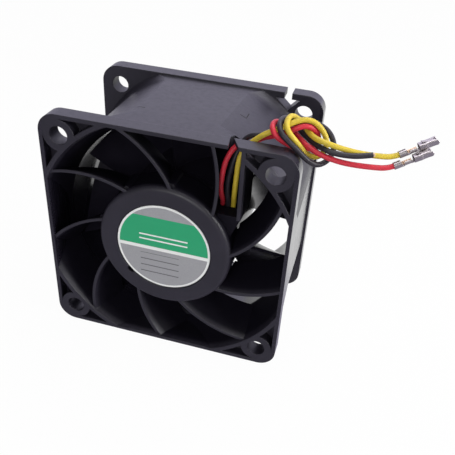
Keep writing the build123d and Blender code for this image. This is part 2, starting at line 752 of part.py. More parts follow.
save_turned(frame(), "frame")
label_low = front - label_recess
save_turned(ring(label_radius, 0, label_low, label_low + label_thickness), "label")
save_turned(bearing_tube(), "bearing_tube")
save_turned(stator_core(), "stator_core")
save_turned(insulator(core_front, 1), "front_insulator")
save_turned(insulator(core_rear, -1), "rear_insulator")
for k in range(tooth_count):
    save_turned(coil(k * 360 / tooth_count), f"coil_{k + 1}")
pins = [Pos(x, y, 0) * ring(pin_radius, 0, guard_front, board_front + pin_radius) for x, y in pin_places()]
save_turned(Compound(children=pins), "winding_pins")
save_turned(board(), "circuit_board")
save_turned(chip(hall_size, hall_pitch_radius, hall_angle), "hall_sensor")
save_turned(chip(driver_size, chip_pitch_radius, driver_angle), "driver_chip")
bridges = [chip(bridge_size, chip_pitch_radius, turn) for turn in bridge_angles]
save_turned(Compound(children=bridges), "bridge_chips")
save_turned(capacitor(), "capacitor")

save_turned(impeller(), "impeller")
yoke_front = hub_front - yoke_setback
yoke = ring(hub_inner, bush_radius, yoke_floor, yoke_front) - ring(yoke_inner, 0, yoke_floor + yoke_wall, yoke_front)
save_turned(yoke, "rotor_yoke")
save_turned(ring(yoke_inner, magnet_inner, magnet_rear, magnet_front), "ring_magnet")
save_turned(ring(bush_radius, shaft_radius, yoke_floor, bush_front), "shaft_bush")
save_turned(shaft(), "shaft")
save_turned(spring_washer(), "spring_washer")
save_turned(retaining_clip(), "retaining_clip")

for end, place in (("front", front_bearing), ("rear", rear_bearing)):
    outer, inner, shields, balls, cage = bearing(place)
    save_turned(outer, f"{end}_outer_ring")
    save_turned(inner, f"{end}_inner_ring")
    save_turned(shields, f"{end}_bearing_shields")
    save_turned(balls, f"{end}_balls")
    save_turned(cage, f"{end}_cage")

save(lead(route_red), "lead_red")
save(lead(route_black), "lead_black")
save(lead(route_yellow), "lead_yellow")
save(Compound(children=[solder_joint(route) for route in (route_red, route_black, route_yellow)]), "solder_joints")
save(contact(route_red), "contact_red")
save(contact(route_yellow), "contact_yellow")
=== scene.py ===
# %% [markdown]
# # Dressing a deep axial fan
# The fan's solids come from CAD, already in place and in metres. This lesson gives them their
# finishes, hangs the three leads as smooth curves, makes the small crimped contacts as surfaces
# worked out with numpy, and sets up the table top, the lamps and the camera.

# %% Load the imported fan
import bpy
import numpy as np
from mathutils import Matrix, Vector


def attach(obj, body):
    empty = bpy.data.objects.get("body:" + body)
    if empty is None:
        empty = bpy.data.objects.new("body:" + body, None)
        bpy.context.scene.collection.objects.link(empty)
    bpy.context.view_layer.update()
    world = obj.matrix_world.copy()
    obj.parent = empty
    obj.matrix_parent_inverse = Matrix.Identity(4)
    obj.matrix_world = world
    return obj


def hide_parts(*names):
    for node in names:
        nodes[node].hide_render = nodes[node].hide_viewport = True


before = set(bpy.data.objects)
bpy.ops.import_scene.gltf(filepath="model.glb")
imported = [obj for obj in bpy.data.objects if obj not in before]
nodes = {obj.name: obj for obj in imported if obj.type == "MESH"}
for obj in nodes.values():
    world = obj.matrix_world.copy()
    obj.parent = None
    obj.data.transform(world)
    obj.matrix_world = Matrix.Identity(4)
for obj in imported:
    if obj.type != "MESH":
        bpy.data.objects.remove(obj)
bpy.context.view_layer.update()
mm = 0.001
half_width = nodes["frame"].dimensions.x / 2
axis_height = nodes["frame"].dimensions.z / 2
print("nodes loaded:", len(nodes), "half width", round(half_width, 4), "axis at", round(axis_height, 4))

# %% [markdown]
# ## The camera
# The fan is seen from above and a little from the right, with the camera tilted a few degrees. A camera
# could be tracked to an empty, but the tilt is simplest as a matrix: three axes from the azimuth, the
# elevation and the roll, and a place that is the target plus the distance.

# %% Camera
view_angles = (13.48, 34.06, 4.01)
target = np.array((10.91, 0.0, 26.54)) * mm
distance = 160.88 * mm
focal_pixels = 609.13
picture_pixels = 455.0
sensor_width = 36.0


def camera_axes(azimuth, elevation, roll):
    """Right, up and back axes: back goes from target to camera, and roll turns the other two about it."""
    a, e, r = np.radians((azimuth, elevation, roll))
    back = np.array((np.sin(a) * np.cos(e), -np.cos(a) * np.cos(e), np.sin(e)))
    right = np.array((np.cos(a), np.sin(a), 0.0))
    up = np.cross(back, right)
    return np.cos(r) * right + np.sin(r) * up, np.cos(r) * up - np.sin(r) * right, back


camera_right, camera_up, camera_back = camera_axes(*view_angles)
eye = target + camera_back * distance
lens_data = bpy.data.cameras.new("photo_camera")
lens_data.sensor_width = sensor_width
lens_data.lens = sensor_width * focal_pixels / picture_pixels
lens_data.clip_start = 5.0 * mm
camera = bpy.data.objects.new("photo_camera", lens_data)
pose = Matrix(np.column_stack((camera_right, camera_up, camera_back)).tolist()).to_4x4()
pose.translation = Vector(eye.tolist())
camera.matrix_world = pose
bpy.context.scene.collection.objects.link(camera)
bpy.context.scene.camera = camera
print("camera at", [round(v, 4) for v in eye], "lens", round(lens_data.lens, 2))

# %% [markdown]
# ## Writing shader maths as expressions
# A finish is a little program: bands, dots and grain worked out from the place on the surface.
# Wiring Math nodes by hand hides that, so one small class wraps a socket and turns + - * / and
# comparisons into Math nodes. Every other node comes from one method of the finish.

# %% Sockets as values
class Value:
    """A socket in a node tree: an operation on it adds a Math node and gives that node's output."""

    def __init__(self, finish, socket):
        self.finish = finish
        self.socket = socket

    def math(self, operation, *values):
        """Adds a Math node with these values on its sockets."""
        return self.finish.node("ShaderNodeMath", {"operation": operation}, *values)

    def __add__(self, other):
        return self.math("ADD", self, other)

    def __radd__(self, other):
        return self.math("ADD", other, self)

    def __sub__(self, other):
        return self.math("SUBTRACT", self, other)

    def __rsub__(self, other):
        return self.math("SUBTRACT", other, self)

    def __mul__(self, other):
        return self.math("MULTIPLY", self, other)

    def __rmul__(self, other):
        return self.math("MULTIPLY", other, self)

    def __truediv__(self, other):
        return self.math("DIVIDE", self, other)

    def __rtruediv__(self, other):
        return self.math("DIVIDE", other, self)

    def __lt__(self, other):
        return self.math("LESS_THAN", self, other)

    def __gt__(self, other):
        return self.math("GREATER_THAN", self, other)

    def __abs__(self):
        return self.math("ABSOLUTE", self)

    def high(self, other):
        """The larger of two values."""
        return self.math("MAXIMUM", self, other)

    def root(self):
        """Square root."""
        return self.math("SQRT", self)

    def zigzag(self, length):
        """Rises from 0 to length and falls back to 0, over and over."""
        return self.math("PINGPONG", self, length)

    def within(self, start, end):
        """1 between start and end, 0 elsewhere."""
        return (self > start) * (self < end)

    def ease(self, start, end):
        """0 below start and 1 above end, with a smooth step between them."""
        kind = {"interpolation_type": "SMOOTHSTEP"}
        return self.finish.node("ShaderNodeMapRange", kind, Value=self, From_Min=start, From_Max=end)


# %% A finish that makes nodes
class Finish:
    """One material with its Principled shader; made once and given to any number of pieces."""

    def __init__(self, name, **constants):
        self.material = bpy.data.materials.new(name)
        self.material.use_nodes = True
        self.tree = self.material.node_tree
        self.shader = self.tree.nodes["Principled BSDF"]
        self.set(**constants)
        self.place = self.node("ShaderNodeTexCoord", {}, out="Object")
        self.x, self.y, self.z = self.split(self.place)

    def split(self, vector):
        """The three numbers of a vector."""
        first = self.node("ShaderNodeSeparateXYZ", {}, vector)
        return [Value(self, socket) for socket in first.socket.node.outputs]

    def feed(self, socket, value):
        """Links a Value to a socket, or writes a plain number, colour or vector into it."""
        if isinstance(value, Value):
            self.tree.links.new(value.socket, socket)
        elif isinstance(value, tuple) and socket.type == "RGBA":
            socket.default_value = (*value, 1.0)
        else:
            socket.default_value = value

    def node(self, kind, settings, *values, out=0, **named):
        """Adds any node: its settings first, then its sockets in order or by name; gives one output."""
        made = self.tree.nodes.new(kind)
        for key, setting in settings.items():
            setattr(made, key, setting)
        for k, value in enumerate(values):
            self.feed(made.inputs[k], value)
        for key, value in named.items():
            self.feed(made.inputs[key.replace("_", " ")], value)
        return Value(self, made.outputs[out])

    def set(self, **sockets):
        """Writes or links sockets of the Principled shader, named with underscores for spaces."""
        for key, value in sockets.items():
            self.feed(self.shader.inputs[key.replace("_", " ")], value)

    def mix(self, share, first, second):
        """Colour that goes from first to second as share goes from 0 to 1."""
        made = self.node("ShaderNodeMix", {"data_type": "RGBA"}, share, out=2)
        inputs = made.socket.node.inputs
        self.feed(inputs[6], first)
        self.feed(inputs[7], second)
        return made

    def ray(self, kind):
        """1 for rays of one kind, such as Camera or Glossy, and 0 for others."""
        return self.node("ShaderNodeLightPath", {}, out=f"Is {kind} Ray")

    def blend(self, share, first, second):
        """Shader that goes from first to second as share goes from 0 to 1."""
        return self.node("ShaderNodeMixShader", {}, share, first, second)

    def show(self, shader):
        """Links a shader to the tree's output."""
        output = next(node for node in self.tree.nodes if node.type.startswith("OUTPUT"))
        self.feed(output.inputs["Surface"], shader)

    def grain(self, per_mm, detail=3.0, rough=0.55, spread=(1, 1, 1)):
        """Noise with that many cells to the millimetre, stretched by spread along x, y and z."""
        scaled = self.node("ShaderNodeVectorMath", {"operation": "MULTIPLY"}, self.place, spread)
        return self.node("ShaderNodeTexNoise", {}, Vector=scaled, Scale=per_mm / mm, Detail=detail,
                         Roughness=rough)

    def bump(self, height, strength, depth_mm, normal=None):
        """Bump of a height field; depth_mm is how far the full height stands out."""
        extra = {} if normal is None else {"Normal": normal}
        self.set(Normal=self.node("ShaderNodeBump", {}, Strength=strength, Distance=depth_mm * mm,
                                  Height=height, **extra))

    def give(self, *objects):
        """Puts this finish on whole objects."""
        for thing in objects:
            thing.data.materials.clear()
            thing.data.materials.append(self.material)


def darker(shade, share):
    """A colour times a share."""
    return tuple(share * v for v in shade)


# %% [markdown]
# ## The leads
# Three thin insulated leads leave the board under the motor base, run up the trough, go out through
# the window in the barrel and are tied in one overhand knot. A swept mesh would show its corners,
# so each lead is a NURBS curve with the given route as its control points and a round bevel.

# %% Routes of the leads, in mm
lead_diameter = 1.2 * mm
routes = {
    "red": [
        (9.67, -12.0, 38.08), (10.99, -12.0, 39.62), (12.3, -11.9, 41.2), (12.42, -13.25, 43.6),
        (12.35, -15.0, 46.6), (12.65, -16.3, 50.3), (13.35, -16.4, 55.1), (14.95, -15.3, 58.35),
        (16.4, -13.9, 58.2), (18.4, -12.0, 58.4), (20.2, -11.5, 59.6), (22.8, -12.1, 60.7),
        (25.5, -12.4, 62.2), (28.3, -11.9, 64.0), (30.4, -10.8, 63.5), (31.9, -9.8, 61.4),
        (31.4, -10.9, 59.2), (29.2, -12.5, 58.8), (27.0, -13.8, 59.7), (25.0, -15.4, 61.35),
        (23.3, -15.7, 62.6), (22.3, -14.6, 63.9), (22.4, -11.6, 63.9), (23.6, -9.2, 62.6),
        (25.6, -9.6, 61.9), (27.7, -11.3, 61.0), (29.8, -13.2, 60.3), (32.1, -14.2, 59.6),
        (34.6, -14.5, 59.0), (37.3, -13.9, 58.2), (40.2, -13.3, 57.8), (43.9, -12.5, 57.6),
        (47.2, -11.7, 57.6), (48.9, -11.0, 58.45),
    ],
    "black": [
        (10.56, -12.0, 36.88), (11.94, -12.0, 38.40), (13.5, -11.95, 40.1), (13.72, -12.5, 42.7),
        (13.4, -13.2, 45.4), (13.75, -14.4, 49.5), (14.5, -14.5, 53.3), (15.2, -13.4, 56.6),
        (16.3, -12.3, 58.9), (17.8, -12.4, 60.2), (20.2, -12.7, 60.6), (22.8, -11.9, 62.2),
        (25.3, -11.0, 63.6), (28.6, -9.8, 64.5), (31.3, -8.3, 63.4), (33.9, -8.6, 62.1),
        (35.5, -10.0, 59.8), (35.1, -12.3, 57.7), (33.0, -14.3, 56.6), (30.8, -15.5, 57.9),
        (28.5, -15.9, 60.1), (25.8, -16.1, 62.2), (24.2, -15.3, 63.5), (23.7, -13.5, 64.5),
        (23.8, -10.6, 64.4), (24.8, -8.3, 63.6), (26.3, -7.8, 62.2), (28.6, -10.0, 61.2),
        (31.0, -12.2, 60.7), (33.6, -14.3, 60.6), (36.2, -14.5, 60.2), (39.1, -14.2, 60.1),
        (41.5, -13.7, 60.3), (43.6, -13.1, 60.7),
    ],
    "yellow": [
        (11.32, -12.0, 35.52), (12.74, -12.0, 37.12), (14.75, -11.9, 39.2), (14.8, -11.75, 42.0),
        (15.35, -14.2, 45.7), (15.9, -15.8, 50.7), (16.2, -16.2, 55.2), (16.6, -15.3, 57.2),
        (17.6, -14.4, 58.5), (18.9, -14.1, 59.9), (20.7, -13.9, 61.5), (22.9, -13.3, 62.6),
        (25.4, -12.4, 63.9), (27.7, -11.3, 65.0), (30.2, -10.7, 65.0), (32.3, -10.4, 63.3),
        (33.7, -10.4, 61.0), (33.7, -11.5, 58.7), (32.2, -12.8, 57.6), (29.8, -13.7, 58.6),
        (28.2, -14.5, 60.9), (26.4, -15.2, 63.0), (25.3, -14.6, 64.3), (25.1, -12.3, 65.2),
        (25.5, -9.7, 64.9), (26.7, -8.1, 63.8), (28.2, -9.0, 62.8), (29.9, -11.2, 62.2),
        (31.7, -13.5, 62.2), (34.0, -14.1, 62.0), (37.0, -13.3, 61.0), (40.9, -12.2, 60.1),
        (45.0, -11.1, 59.7), (47.8, -10.1, 59.6), (49.5, -9.4, 60.45),
    ],
}
print("points of each route:", {colour: len(route) for colour, route in routes.items()})


# %% Leads
def lead_curve(name, route):
    """Smooth curve of order 3 drawn by its control points; each point's radius is the lead's."""
    curve = bpy.data.curves.new(name, "CURVE")
    curve.dimensions = "3D"
    spline = curve.splines.new("NURBS")
    spline.points.add(len(route) - 1)
    control = np.ones((len(route), 4))
    control[:, :3] = np.array(route) * mm
    spline.points.foreach_set("co", control.ravel())
    spline.points.foreach_set("radius", np.full(len(route), lead_diameter / 2))
    spline.order_u = 3
    spline.use_endpoint_u = True
    spline.resolution_u = 8
    curve.bevel_depth = 1.0
    curve.bevel_resolution = 5
    curve.use_fill_caps = True
    piece = bpy.data.objects.new(name, curve)
    bpy.context.scene.collection.objects.link(piece)
    return piece


leads = {}
for colour, route in routes.items():
    leads[colour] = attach(lead_curve(f"lead_{colour}_insulation", route), "housing")
    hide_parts(f"lead_{colour}")
print("leads:", sorted(leads))

# %% [markdown]
# ## Crimped contacts and bare strands
# Each contact is one strip of tinned bronze: rolled round the insulation, rolled tighter round the
# bare strands, then folded into a box with two arms. It could be pieced together from tubes and boxes,
# but a strip is a grid of two parameters, s along the contact and t across the strip, so one formula
# for the opening angle and one for the radius shape it.

# %% Surfaces from grids
def parameter_grid(start, end, rows, columns):
    """First parameter from start to end down the rows, second from -1 to 1 across the columns."""
    return np.meshgrid(np.linspace(start, end, rows), np.linspace(-1.0, 1.0, columns), indexing="ij")


def grid_faces(rows, columns):
    """Quads of a rows by columns grid, closed across the columns."""
    r, c = np.meshgrid(np.arange(rows - 1), np.arange(columns), indexing="ij")
    here = r * columns + c
    across = r * columns + (c + 1) % columns
    return np.stack((here, here + columns, across + columns, across), -1).reshape(-1, 4)


def mesh_piece(name, points, faces):
    """Smooth mesh object from an n by 3 array in metres and a list of faces."""
    mesh = bpy.data.meshes.new(name)
    mesh.from_pydata(np.asarray(points).tolist(), [], [list(map(int, face)) for face in faces])
    mesh.polygons.foreach_set("use_smooth", np.ones(len(mesh.polygons), bool))
    piece = bpy.data.objects.new(name, mesh)
    bpy.context.scene.collection.objects.link(piece)
    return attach(piece, "housing")


def thick_strip(middle, outward, thickness):
    """Closed sheet: the middle surface moved half the thickness each way, joined round all its edges."""
    rows, columns = middle.shape[:2]
    shift = 0.5 * thickness * outward
    skin = np.concatenate((middle + shift, (middle - shift)[:, ::-1]), 1)
    k = np.arange(columns - 1)
    first = np.stack((k, k + 1, 2 * columns - 2 - k, 2 * columns - 1 - k), -1)
    last = (first + (rows - 1) * 2 * columns)[:, ::-1]
    return skin.reshape(-1, 3), np.concatenate((grid_faces(rows, 2 * columns), first, last))


def ramp(s, start, end):
    """Smooth step 3h^2 - 2h^3 with h = (s - start) / (end - start) held between 0 and 1."""
    h = np.clip((s - start) / (end - start), 0.0, 1.0)
    return h * h * (3.0 - 2.0 * h)


def end_axes(route):
    """Tip of a route in mm, and the axes there: along it, sideways, and as near to up as that leaves."""
    tip, before = np.array(route[-1]), np.array(route[-2])
    along = (tip - before) / np.linalg.norm(tip - before)
    side = np.cross(along, (0.0, 0.0, 1.0))
    side = side / np.linalg.norm(side)
    return tip, along, side, np.cross(side, along)


# %% Strips of a contact, in mm
strip_thickness = 0.16
crimp_radius = 0.72
strand_crimp_radius = 0.50
socket_start = 3.5
socket_end = 6.5


def crimp_strip(s, t):
    """Rolled tail: angle t A(s) from the strip's middle, radius R(s), its lowest line under the lead.

    A runs 168, 40, 172, 40 degrees over the insulation crimp, the neck, the strand crimp and the second
    neck, and R narrows at the strand crimp. Gives side, up and the outward normal in that plane."""
    wrap = 1.0 - ramp(s, 0.75, 1.0) + ramp(s, 1.3, 1.5) - ramp(s, 2.75, 2.95)
    tight = ramp(s, 1.2, 1.5) - ramp(s, 2.75, 3.1)
    angle = np.radians(40.0 + 128.0 * wrap + 4.0 * tight) * t
    radius = crimp_radius - (crimp_radius - strand_crimp_radius) * tight
    dent = 1.0 - 0.10 * tight * (1.0 + np.cos(angle * 2.0))
    side = radius * np.sin(angle)
    up = radius - crimp_radius - radius * np.cos(angle) * dent
    return side, up, np.sin(angle), -np.cos(angle)


def box_strip(u, t):
    """Folded socket: section |x / 0.75|^6 + |y / 0.65|^6 = 1 mm, split at the top.

    Its front edge lies 1.1 |sin|^1.5 mm past the socket's end, so the two sides stand out as arms, which
    spread 0.14 mm at their tips and bulge 0.10 mm at s = 4.9 mm."""
    angle = np.radians(176.0) * t
    reach = socket_end + 1.1 * np.abs(np.sin(angle)) ** 1.5
    s = socket_start + u * (reach - socket_start)
    across = np.sin(angle)
    height = -np.cos(angle)
    size = ((np.abs(across) / 0.75) ** 6 + (np.abs(height) / 0.65) ** 6) ** (-1.0 / 6.0)
    spread = 0.14 * ramp(s, 6.3, 7.4) * across + 0.10 * np.exp(-((s - 4.9) / 0.35) ** 2) * across
    return s, size * across + spread, size * height, across, height


def lance_strip(u, t):
    """Locking tongue: 0.7 mm wide, leaves the top at s = 6.1 mm and rises 0.55 u^2 mm towards the tail."""
    s = 6.1 - 1.9 * u
    return s, 0.35 * t * (1.0 - 0.3 * u), 0.62 + 0.55 * u * u, np.zeros_like(u), np.ones_like(u)


# %% Contacts
def contact(name, route):
    """Whole contact on the end of a route: tail strip, socket and tongue joined in one mesh."""
    tip, along, side, up = end_axes(route)
    tail = parameter_grid(-0.8, 3.7, 64, 33)
    strips = (
        (tail[0], *crimp_strip(*tail)),
        box_strip(*parameter_grid(0.0, 1.0, 40, 73)),
        lance_strip(*parameter_grid(0.0, 1.0, 14, 7)),
    )
    points, faces, count = [], [], 0
    for s, x, y, normal_x, normal_y in strips:
        place = tip + s[..., None] * along + x[..., None] * side + y[..., None] * up
        normal = normal_x[..., None] * side + normal_y[..., None] * up
        strip, quads = thick_strip(place * mm, normal * mm, strip_thickness)
        points.append(strip)
        faces.append(quads + count)
        count += len(strip)
    return mesh_piece(name, np.concatenate(points), np.concatenate(faces))


# %% Strands, in mm
strand_count = 7
strand_radius = 0.12
strand_orbit = 0.26
strand_pitch = 6.0


def strands(name, route, start, end, splay):
    """One straight strand and six on a helix round it, which opens by splay towards the tip.

    Each is a ring of points carried along s, and its end falls short by up to 0.1 mm."""
    tip, along, side, up = end_axes(route)
    rows, sides = 24, 8
    s = np.linspace(start, end, rows)[:, None]
    v = np.radians(np.arange(0, 360, 360 // sides))[None, :]
    points, faces = [], []
    for k in range(strand_count):
        orbit = (strand_orbit if k else 0.0) * (1.0 + splay * ramp(s, 0.0, end))
        phase = np.radians(60.0 * k) + 2.0 * np.pi * s / strand_pitch
        reach = s - (0.12 * ((3 * k) % 7) / 7.0) * ramp(s, start, end)
        x = orbit * np.cos(phase) + strand_radius * np.cos(v)
        y = orbit * np.sin(phase) + strand_radius * np.sin(v)
        ring = tip + (reach + 0.0 * v)[..., None] * along + x[..., None] * side + y[..., None] * up
        first = k * rows * sides
        cap = np.arange(sides) + first
        points.append(ring.reshape(-1, 3) * mm)
        faces += (grid_faces(rows, sides) + first).tolist()
        faces += [cap.tolist(), (cap + (rows - 1) * sides)[::-1].tolist()]
    piece = mesh_piece(name, np.concatenate(points), faces)
    return piece


# %% Fittings on the ends of the leads
fittings = {}
for colour, route in routes.items():
    if colour == "black":
        fittings[colour] = [strands("strands_black", route, -0.3, 0.4, 0.2)]
        continue
    socket = contact(f"contact_{colour}_strip", route)
    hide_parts(f"contact_{colour}")
    fittings[colour] = [socket, strands(f"strands_{colour}", route, -0.3, 3.0, 0.0)]
print("fittings:", [piece.name for row in fittings.values() for piece in row])

# %% [markdown]
# ## The far ends of the leads
# A lead bends when it is moved, and a mesh alone can't say so. The loop below only names the kind
# of each lead's far end, bare for black and a connector for the others, and keeps nothing.

# %% Kinds of lead ends
for colour, route in routes.items():
    "bare" if colour == "black" else "connector"

# %% [markdown]
# ## Lead insulation
# Soft PVC, pulled through a die and handled since: a slightly uneven colour, a satin skin and a faint
# grain. Each colour could have a material set by hand, but one loop makes the three alike, so only the
# shade differs.

# %% Insulation
insulation = {"red": (0.54, 0.022, 0.042), "black": (0.018, 0.015, 0.021), "yellow": (0.56, 0.42, 0.035)}
for colour, shade in insulation.items():
    skin = Finish(f"insulation_{colour}", Specular_IOR_Level=0.35)
    scuff = skin.grain(1.6)
    scuffed = tuple(0.75 * v + 0.02 for v in shade)
    skin.set(Base_Color=skin.mix(scuff.ease(0.45, 0.8), shade, scuffed))
    skin.set(Roughness=0.38 + 0.16 * scuff)
    skin.bump(skin.grain(7.0), 0.25, 0.03)
    skin.give(leads[colour])
print("insulated:", sorted(insulation))

# %% [markdown]
# ## Black moulded plastic
# The frame and the impeller are glass-filled plastic. Straight from the mould it is almost black with
# a satin skin: a fine spark-eroded grain, faint flow mottling, and pale dust that settles on what
# faces up. The mould is polished along the air path and on the outer flanks. The walls of the vanes
# get painted shade, a darker skin with no reflection blended over them. Separate meshes could carry
# these skins, but the frame is one solid, so masks worked out from the distance to the axis pick them.
# A Bevel node rounds the look of the frame's sharp edges, and the grain's bump rides on it.

# %% Regions of the moulding
bore_radius = 28.8 * mm
flare_start = -9.0 * mm
flare_slope = 0.32
vane_front = -18.5 * mm
side_inside = half_width - 0.75 * mm


def regions(skin, above):
    """Masks of the polished air path, the vane walls that get painted shade, and the outer flanks.

    A place is inside where its distance from the axis, less the slope times the way into the flare, is
    under the bore's radius, and x and z are within the side walls. The air path is what lies inside and
    behind the flare, the vane walls what lies inside and in it."""
    from_axis = (skin.x * skin.x + above * above).root()
    from_wall = from_axis - flare_slope * (flare_start - skin.y).high(0.0)
    inside = 1.0 - from_wall.ease(bore_radius + 0.1 * mm, bore_radius + 0.6 * mm)
    inside = inside * (abs(skin.x) < side_inside) * (abs(above) < side_inside)
    behind = skin.y.ease(flare_start - 0.2 * mm, flare_start + 0.8 * mm)
    shaded_vane_walls = inside * skin.y.ease(vane_front + 0.2 * mm, vane_front + 1.7 * mm) * (1.0 - behind)
    flank = abs(skin.x).ease(half_width - 1.5 * mm, half_width - 0.5 * mm)
    return inside * behind, shaded_vane_walls, flank * (abs(above) < half_width - 1.0 * mm)


# %% Moulded plastic
def scribed(skin, above, scribes):
    """1 on short lines that mould inserts left on the top, each given as x, y and half sizes in mm."""
    lines = 0.0
    for x, y, half_x, half_y in scribes:
        here = (abs(skin.x - x * mm) < half_x * mm) * (abs(skin.y - y * mm) < half_y * mm)
        lines = here.high(lines)
    return lines * (above > 20.0 * mm)


def moulded(name, shade, edge_mm, shine, dust, vane_shade_share, scribes=()):
    """Black plastic: flow mottling and rub streaks, dust on what faces up, and a grained bump.

    The edge's radius, the dust's share and the share of painted shade on the vane walls may each be zero."""
    skin = Finish(name, Specular_IOR_Level=shine)
    above = skin.z - axis_height
    air_path, shaded_vane_walls, flank = regions(skin, above)
    lines = scribed(skin, above, scribes)
    flow = skin.grain(0.12, detail=4.0)
    speck = skin.grain(2.2)
    rub = skin.grain(0.8, detail=4.0, spread=(1.0, 1.0, 0.15))
    facing_up = skin.split(skin.node("ShaderNodeNewGeometry", {}, out="Normal"))[2]
    settled = facing_up.ease(0.55, 1.0) * speck.ease(0.45, 0.75) * dust
    mottle = flow.ease(0.35, 0.75) * 0.6 + speck.ease(0.6, 0.8) * 0.3
    colour = skin.mix(mottle, shade, darker(shade, 1.6))
    colour = skin.mix(settled, colour, (0.20, 0.19, 0.21))
    skin.set(Base_Color=skin.mix(lines * 0.9, colour, (0.001, 0.001, 0.001)))
    rough = 0.30 + 0.18 * flow + 0.06 * speck + 0.06 * rub.ease(0.4, 0.7) + 0.4 * lines
    skin.set(Roughness=rough * (1.0 - 0.55 * air_path) * (1.0 - 0.6 * flank))
    rounded = skin.node("ShaderNodeBevel", {"samples": 4}, Radius=edge_mm * mm) if edge_mm else None
    relief = skin.grain(6.0) + 1.2 * rub.ease(0.62, 0.70) - 6.0 * lines
    skin.bump(relief * (1.0 - air_path), 0.30, 0.015, rounded)
    # Painted shade: a darker Principled with no reflection, blended over the vane walls.
    if vane_shade_share:
        painted_shade = skin.node("ShaderNodeBsdfPrincipled", {}, Base_Color=darker(shade, 0.55), Roughness=0.9,
                         Specular_IOR_Level=0.0)
        skin.show(skin.blend(shaded_vane_walls * vane_shade_share, Value(skin, skin.shader.outputs[0]), painted_shade))
    return skin


insert_lines = ((-9.8, -7.2, 1.0, 0.16), (13.0, -0.5, 0.85, 0.16), (13.7, 1.0, 0.12, 1.2))
# The frame's 0.85 is its share of painted shade on the vane walls; the impeller gets none.
frame_plastic = moulded("frame_plastic", (0.0115, 0.0100, 0.0170), 0.35, 0.5, 0.06, 0.85, insert_lines)
frame_plastic.give(nodes["frame"])
impeller_plastic = moulded("impeller_plastic", (0.0115, 0.0100, 0.0160), 0.0, 0.25, 0.0, 0.0)
impeller_plastic.give(nodes["impeller"])
print("moulded:", frame_plastic.material.name, impeller_plastic.material.name)

# %% [markdown]
# ## The label
# A film disc printed in green, silver and white lies in its seat on the motor base. An image could be
# wrapped round it, but bands and rules are exact as expressions of x and z, in radii of the disc.

# %% Printed film
film = Finish("label_film", Specular_IOR_Level=0.5)
film_radius = nodes["label"].dimensions.x / 2
across, height = film.x / film_radius, (film.z - axis_height) / film_radius
from_centre = (across * across + height * height).root()
green_field = height.within(-0.02, 0.70)
white_line = height.within(-0.10, -0.02).high(from_centre.within(0.955, 1.1))
stripes = (abs(height - 0.20).zigzag(0.055) > 0.038) * height.within(0.12, 0.30) * (abs(across) < 0.52)
rules = ((height + 0.2).zigzag(0.08) < 0.012) * height.within(-0.70, -0.20) * (abs(across + 0.08) < 0.42)
fleck = film.grain(3.0)
silver = film.mix(fleck, (0.29, 0.29, 0.31), (0.37, 0.37, 0.39))
print_colour = film.mix(green_field, silver, (0.012, 0.36, 0.155))
print_colour = film.mix(rules, print_colour, (0.12, 0.12, 0.13))
print_colour = film.mix(white_line.high(stripes), print_colour, (0.82, 0.83, 0.82))
film.set(Base_Color=print_colour, Roughness=0.30 + 0.12 * fleck)
film.bump(film.grain(0.25), 0.2, 0.05)
film.give(nodes["label"])
print("label radius", round(film_radius, 4))

# %% [markdown]
# ## The metals
# Bearings, shaft and contacts are ground or plated metal. A plain colour would look like paint, so noise
# stretched along one way leaves the marks of the wheel or the lathe in the roughness and the bump.

# %% Metals
def metal(name, shade, roughness, per_mm, spread=(1, 1, 1), depth=0.01):
    """Metal with fine drawn or ground marks: noise stretched along one way, in roughness and bump."""
    skin = Finish(name, Metallic=1.0)
    marks = skin.grain(per_mm, spread=spread)
    skin.set(Base_Color=skin.mix(marks, shade, darker(shade, 0.82)))
    skin.set(Roughness=roughness + 0.14 * marks)
    skin.bump(marks, 0.3, depth)
    return skin


ground = metal("ground_steel", (0.60, 0.60, 0.61), 0.20, 4.0, (1, 6, 1))
ground.give(nodes["shaft"], nodes["retaining_clip"], nodes["spring_washer"])
shields = metal("shield_steel", (0.55, 0.55, 0.57), 0.30, 3.0)
for end in ("front", "rear"):
    ground.give(nodes[f"{end}_outer_ring"], nodes[f"{end}_inner_ring"], nodes[f"{end}_balls"])
    shields.give(nodes[f"{end}_bearing_shields"])
metal("yoke_plate", (0.33, 0.33, 0.35), 0.35, 2.0, (1, 0.2, 1)).give(nodes["rotor_yoke"])
brass = metal("turned_brass", (0.70, 0.50, 0.20), 0.28, 3.0, (1, 8, 1))
brass.give(nodes["bearing_tube"], nodes["shaft_bush"])
tinned = metal("tin_plate", (0.46, 0.42, 0.43), 0.30, 2.5)
tinned.give(nodes["winding_pins"], nodes["solder_joints"])
for colour in ("red", "yellow"):
    tinned.give(fittings[colour][0], nodes[f"contact_{colour}"])
metal("tinned_copper", (0.72, 0.52, 0.38), 0.30, 3.0).give(*(row[-1] for row in fittings.values()))
metal("capacitor_can", (0.72, 0.72, 0.74), 0.25, 2.0, (1, 5, 1)).give(nodes["capacitor"])
print("metal finishes made")

# %% [markdown]
# ## The motor inside
# Most of the motor hides behind the motor base, but each piece still has the marks of how it was made:
# sheets in the stator stack, wound wire on the coils, mottled ferrite and a green board. Modelling each
# sheet and turn would cost thousands of faces, and a zigzag of the place draws them instead.

# %% Stator stack and windings
sheet_pitch = 0.25 * mm
sheets = Finish("lamination_stack", Metallic=0.9)
seam = sheets.y.zigzag(sheet_pitch) / sheet_pitch
sheets.set(Base_Color=sheets.mix(seam.ease(0.0, 0.2), (0.10, 0.08, 0.07), (0.34, 0.34, 0.36)))
sheets.set(Roughness=0.38 + 0.2 * sheets.grain(2.0))
sheets.bump(seam.ease(0.0, 0.25), 0.5, 0.03)
sheets.give(nodes["stator_core"])

